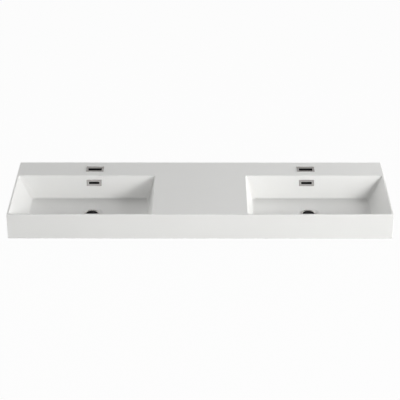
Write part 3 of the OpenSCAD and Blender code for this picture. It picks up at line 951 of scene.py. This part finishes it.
def makeThread():  # ridge wound up the tail at the real pitch
    half = thread["pitch"] / 2 * thread["fill"]
    depth, sunk, crest = thread["depth"], thread["sunk"], thread["crest"]
    flank = half - crest / 2
    ridge = startOutline("thread", waste["tail"] - depth - sunk, thread["low"])
    for across, up in ((sunk, 0), (depth, flank), (0, crest), (-depth, flank), (-sunk, 0), (0, -2 * half)):
        extrudeBy(across, 0, up)
    weldDoubles()
    closeMesh()
    turns = int((thread["high"] - thread["low"]) / thread["pitch"]) - 1
    applyModifier(
        ridge, 'SCREW', axis='Z', screw_offset=thread["pitch"] * mm, iterations=turns,
        steps=thread["steps"], render_steps=thread["steps"]
    )
    openMesh(ridge)
    weldDoubles()
    bpy.ops.mesh.fill_holes(sides=0)  # both ends of the ridge
    pointOutwards()
    closeMesh()
    return ridge


def cutWindows(body):  # four windows in the cup's foot, where the overflow comes in
    width, height, middle = waste["window"]
    reach, low, high = waste["windowReach"], middle - height / 2, middle + height / 2
    window = addBox("window", (-reach, -width / 2, low), (reach, width / 2, high))
    openMesh(window)
    pickEdges(lengthwiseEdge)
    bevelEdges(*waste["windowCorner"])
    closeMesh()
    for turn in (pi / 4, 3 * pi / 4):
        combine(body, copyTo(window, "windowWay", turn=(0, 0, turn)), 'DIFFERENCE')
    bpy.data.objects.remove(window)


def makeBridge():  # arm across the bore, with a hub for the cartridge
    low, high = waste["bridge"]
    bridge = addDisc("bridge", waste["hub"], low, high)
    reach, half = waste["bore"] + waste["armSunk"], waste["arm"] / 2
    arm = addBox("arm", (-reach, -half, low + hair), (reach, half, high - hair))
    openMesh(arm)
    pickEdges(lengthwiseEdge)
    bevelEdges(*waste["armCorner"])
    closeMesh()
    combine(bridge, arm, 'UNION')
    hubBore = addDisc("hubBore", waste["hubBore"], low - clear, high + clear, corners=waste["hubCorners"])
    combine(bridge, hubBore, 'DIFFERENCE')
    return bridge


def makeWasteBody():  # each corner is its radius from the axis, its height and its rounding
    grooveTop, grooveLow = waste["groove"]
    grooveRadius, root = waste["tail"] - waste["grooveDepth"], waste["tail"] - thread["depth"]
    body = turnOutline("wasteBody", roundedOutline([
        (waste["cup"], waste["flangeTop"], 0.5), (waste["flange"], waste["flangeTop"], 1.4),
        (waste["flange"], waste["seat"], 0.3), (waste["collar"], waste["seat"], 0),
        (waste["collar"], waste["collarLow"], 0.3), (waste["tail"], waste["collarLow"], 0),
        (waste["tail"], grooveTop, 0.2), (grooveRadius, grooveTop, 0), (grooveRadius, grooveLow, 0),
        (root, grooveLow - waste["grooveRun"], 0), (root, waste["tailLow"], 0.3),
        (waste["bore"], waste["tailLow"], 0.3), (waste["bore"], waste["coneLow"], 1),
        (waste["cup"], waste["cupLow"], 0.4),
    ], arcSteps))
    cutWindows(body)
    combine(body, makeThread(), 'UNION')
    combine(body, makeBridge(), 'UNION')
    body.data.materials.append(materials["chromedBrass"])
    finishShading(body)
    return body


def makeNut():  # hexagon with turned chamfers and a round flange
    low, high, radius, bore = nut["low"], nut["high"], nut["radius"], nut["bore"]
    hexagon = addDisc("nut", radius, low, high, corners=6)
    turned = radius - nut["turnedOff"]  # just inside the hexagon's corners
    envelope = turnOutline("chamfer", [
        (0, high + clear), (turned, high + clear), (turned, low + nut["chamfer"]),
        (radius * cos(pi / 6), low), (0, low),
    ], closed=False)
    combine(hexagon, envelope, 'INTERSECT')
    inner, flangeLow = bore + clear, high - nut["flange"]
    flange = turnOutline("nutFlange", roundedOutline([
        (inner, high, 0), (radius, high, 0.5), (radius, flangeLow, 0.9), (inner, flangeLow, 0),
    ], arcSteps))
    combine(hexagon, flange, 'UNION')
    mouth = bore + nut["leadIn"]
    way = turnOutline("nutBore", [
        (0, high + clear), (mouth, high + clear), (bore, high - clear),
        (bore, low + clear), (mouth, low - clear), (0, low - clear),
    ], closed=False)
    combine(hexagon, way, 'DIFFERENCE')
    softenEdges(hexagon, nut["soft"])
    hexagon.data.materials.append(materials["chromedBrass"])
    finishShading(hexagon)
    return hexagon


def crownOutline():  # arc over the plug's face, from the middle outwards
    crownRadius = (plug["radius"] ** 2 + plug["crown"] ** 2) / (2 * plug["crown"])
    centre = plug["top"] + plug["crown"] - crownRadius
    arc = []
    for step in range(plug["crownSteps"] + 1):
        radius = (plug["radius"] - plug["crownInset"]) * step / plug["crownSteps"]
        arc.append((radius, centre + crownRadius * cos(asin(radius / crownRadius)), 0))
    return arc


def makePlug():  # crowned cap with a ring groove in its conical edge, hub and stem
    ring, height, wire, groove = plugRing["radius"], plugRing["height"], plugRing["wire"], plugRing["groove"]
    edge = [
        (plug["radius"], plug["top"] + plug["brimRise"], 0.35), (plug["radius"], plug["brimLow"], 0.4),
        (ring + plugRing["out"], height + wire * plugRing["rise"], 0), (ring - groove, height + groove, 0.3),
        (ring - groove, height - groove, 0.3), (ring - plugRing["footIn"], height - wire, 0),
        (plug["neck"], plug["low"], 0.3), (plug["hub"], plug["low"], 1), (plug["hub"], plug["hubLow"], 0.5),
        (plug["stem"], plug["hubLow"], 0.6), (plug["stem"], plug["stemLow"], 0.6), (0, plug["stemLow"], 0),
    ]
    cap = turnOutline("plug", roundedOutline(crownOutline() + edge, arcSteps), closed=False)
    cap.data.materials.append(materials["blackEnamelAndSlotShade"])
    finishShading(cap)
    return cap


def makeWastes():
    body, backNut, cap = makeWasteBody(), makeNut(), makePlug()
    for side, sign in sides.items():
        place = (sign * drainPlace.x, drainPlace.y, 0)
        made = copyTo(body, side + "WasteBody", place)
        placeInFrame(made, "top", [side + "_waste_body"])
        made = copyTo(backNut, side + "WasteNut", place)
        placeInFrame(made, "top", [side + "_waste_nut"])
        made = copyTo(cap, side + "WastePlug", place)
        placeInFrame(made, side + "_plug", [side + "_waste_plug"])
    for spare in (body, backNut, cap):
        bpy.data.objects.remove(spare)


makeWastes()
print("wastes made")

# Frame nodes that stay, each with its real finish

finishes = {
    "overflow_channel": "blackPlastic", "overflow_seal": "rubber", "tap_slot_seal": "rubber",
    "tap_slot_clamp": "stainless", "tap_slot_screws": "stainless", "waste_top_seal": "rubber",
    "waste_lower_seal": "rubber", "waste_washer": "nylon", "click_cartridge": "nylon", "plug_seal": "rubber",
    "fixing_inserts": "brass",
}


def dressFrame():
    for name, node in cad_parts.items():
        kind = name.removeprefix("left_").removeprefix("right_")
        if kind in finishes:
            for slot in node.material_slots:
                slot.material = materials[finishes[kind]]


dressFrame()
print("frame nodes dressed")

# Studio: pale floor at a cabinet's height below the top, plain soft light with the key from the right

stage = {
    "floor": -850, "size": 60000, "colours": ("#9A9A98", "#A2A2A0"), "cloud": 900, "whiteness": 0.97,
    "lampAim": (0, -240, 60),
}
lamps = {  # none shows in the chrome, which mirrors the white surround
    "key": {"place": (2440, -3370, 1430), "size": 1000, "power": 82},
    "front": {"place": (0, -4200, 620), "size": 2000, "power": 40},
    "frontLeft": {"place": (-1760, -2750, 2630), "size": 2000, "power": 28},
    "right": {"place": (3560, -240, 560), "size": 1600, "power": 74},
    "rearRight": {"place": (3070, 880, 1580), "size": 1600, "power": 26},
    "rear": {"place": (0, 2940, 3240), "size": 2500, "power": 60},
    "left": {"place": (-3230, 1270, 560), "size": 800, "power": 37},
}
sky = {"light": 0.1, "whiteBelow": 10, "greyAbove": 30, "ceiling": 0.35}  # elevations in degrees


def seenRays(tree):  # 1 where the camera sees it, directly, in a mirror or through glass
    rays = addNode(tree, 'ShaderNodeLightPath')
    seen = addNode(
        tree, 'ShaderNodeMath', {"operation": 'MAXIMUM'},
        {0: rays.outputs["Is Camera Ray"], 1: rays.outputs["Is Glossy Ray"]}
    )
    seenAll = addNode(
        tree, 'ShaderNodeMath', {"operation": 'MAXIMUM'},
        {0: seen.outputs["Value"], 1: rays.outputs["Is Transmission Ray"]}
    )
    return seenAll.outputs["Value"]


def makeFloorPaint():
    # painted studio floor: white to the camera and in reflections, and it still takes the shadow
    material, tree, shader, place = newMaterial("studioFloor", {"Roughness": 0.8, "Specular IOR Level": 0.2})
    cloudColour(tree, shader, place, stage, 2)
    share = addNode(
        tree, 'ShaderNodeMath', {"operation": 'MULTIPLY', 1: stage["whiteness"]}, {0: seenRays(tree)}
    )
    glow = addNode(tree, 'ShaderNodeEmission', {"Color": (1, 1, 1, 1), "Strength": 1})
    mix = addNode(
        tree, 'ShaderNodeMixShader', {},
        {0: share.outputs["Value"], 1: shader.outputs["BSDF"], 2: glow.outputs["Emission"]}
    )
    tree.links.new(mix.outputs["Shader"], tree.nodes["Material Output"].inputs["Surface"])
    return material


def makeStage():
    deselectAll()
    bpy.ops.mesh.primitive_plane_add(size=stage["size"] * mm, location=(0, 0, stage["floor"] * mm))
    floor = bpy.context.object
    floor.name = "studioFloor"
    bakePlace()
    floor.data.materials.append(makeFloorPaint())


def makeLamps():
    aim = Vector(stage["lampAim"]) * mm
    for name, values in lamps.items():
        lamp = bpy.data.lights.new(name, 'AREA')
        lamp.shape = 'DISK'
        lamp.size = values["size"] * mm
        lamp.energy = values["power"]
        holder = bpy.data.objects.new(name, lamp)
        holder.location = Vector(values["place"]) * mm
        holder.rotation_euler = (aim - holder.location).to_track_quat('-Z', 'Y').to_euler()
        holder.visible_glossy = False
        bpy.context.scene.collection.objects.link(holder)


def makeSky():
    world = bpy.data.worlds.new("studio")
    world.use_nodes = True
    bpy.context.scene.world = world
    tree = world.node_tree
    background = tree.nodes["Background"]
    strength = addNode(
        tree, 'ShaderNodeMapRange', {"To Min": sky["light"], "To Max": 1}, {"Value": seenRays(tree)}
    )
    tree.links.new(strength.outputs["Result"], background.inputs["Strength"])
    direction = addNode(tree, 'ShaderNodeTexCoord').outputs["Generated"]
    height = addNode(tree, 'ShaderNodeSeparateXYZ', {}, {"Vector": direction})
    low, high = (sin(radians(sky[elevation])) for elevation in ("whiteBelow", "greyAbove"))
    fall = addNode(
        tree, 'ShaderNodeMapRange', {"From Min": low, "From Max": high, "To Min": 1, "To Max": sky["ceiling"]},
        {"Value": height.outputs["Z"]}
    )
    tree.links.new(fall.outputs["Result"], background.inputs["Color"])


makeStage()
makeLamps()
makeSky()
bpy.context.scene.view_settings.view_transform = 'Standard'
print("studio ready")
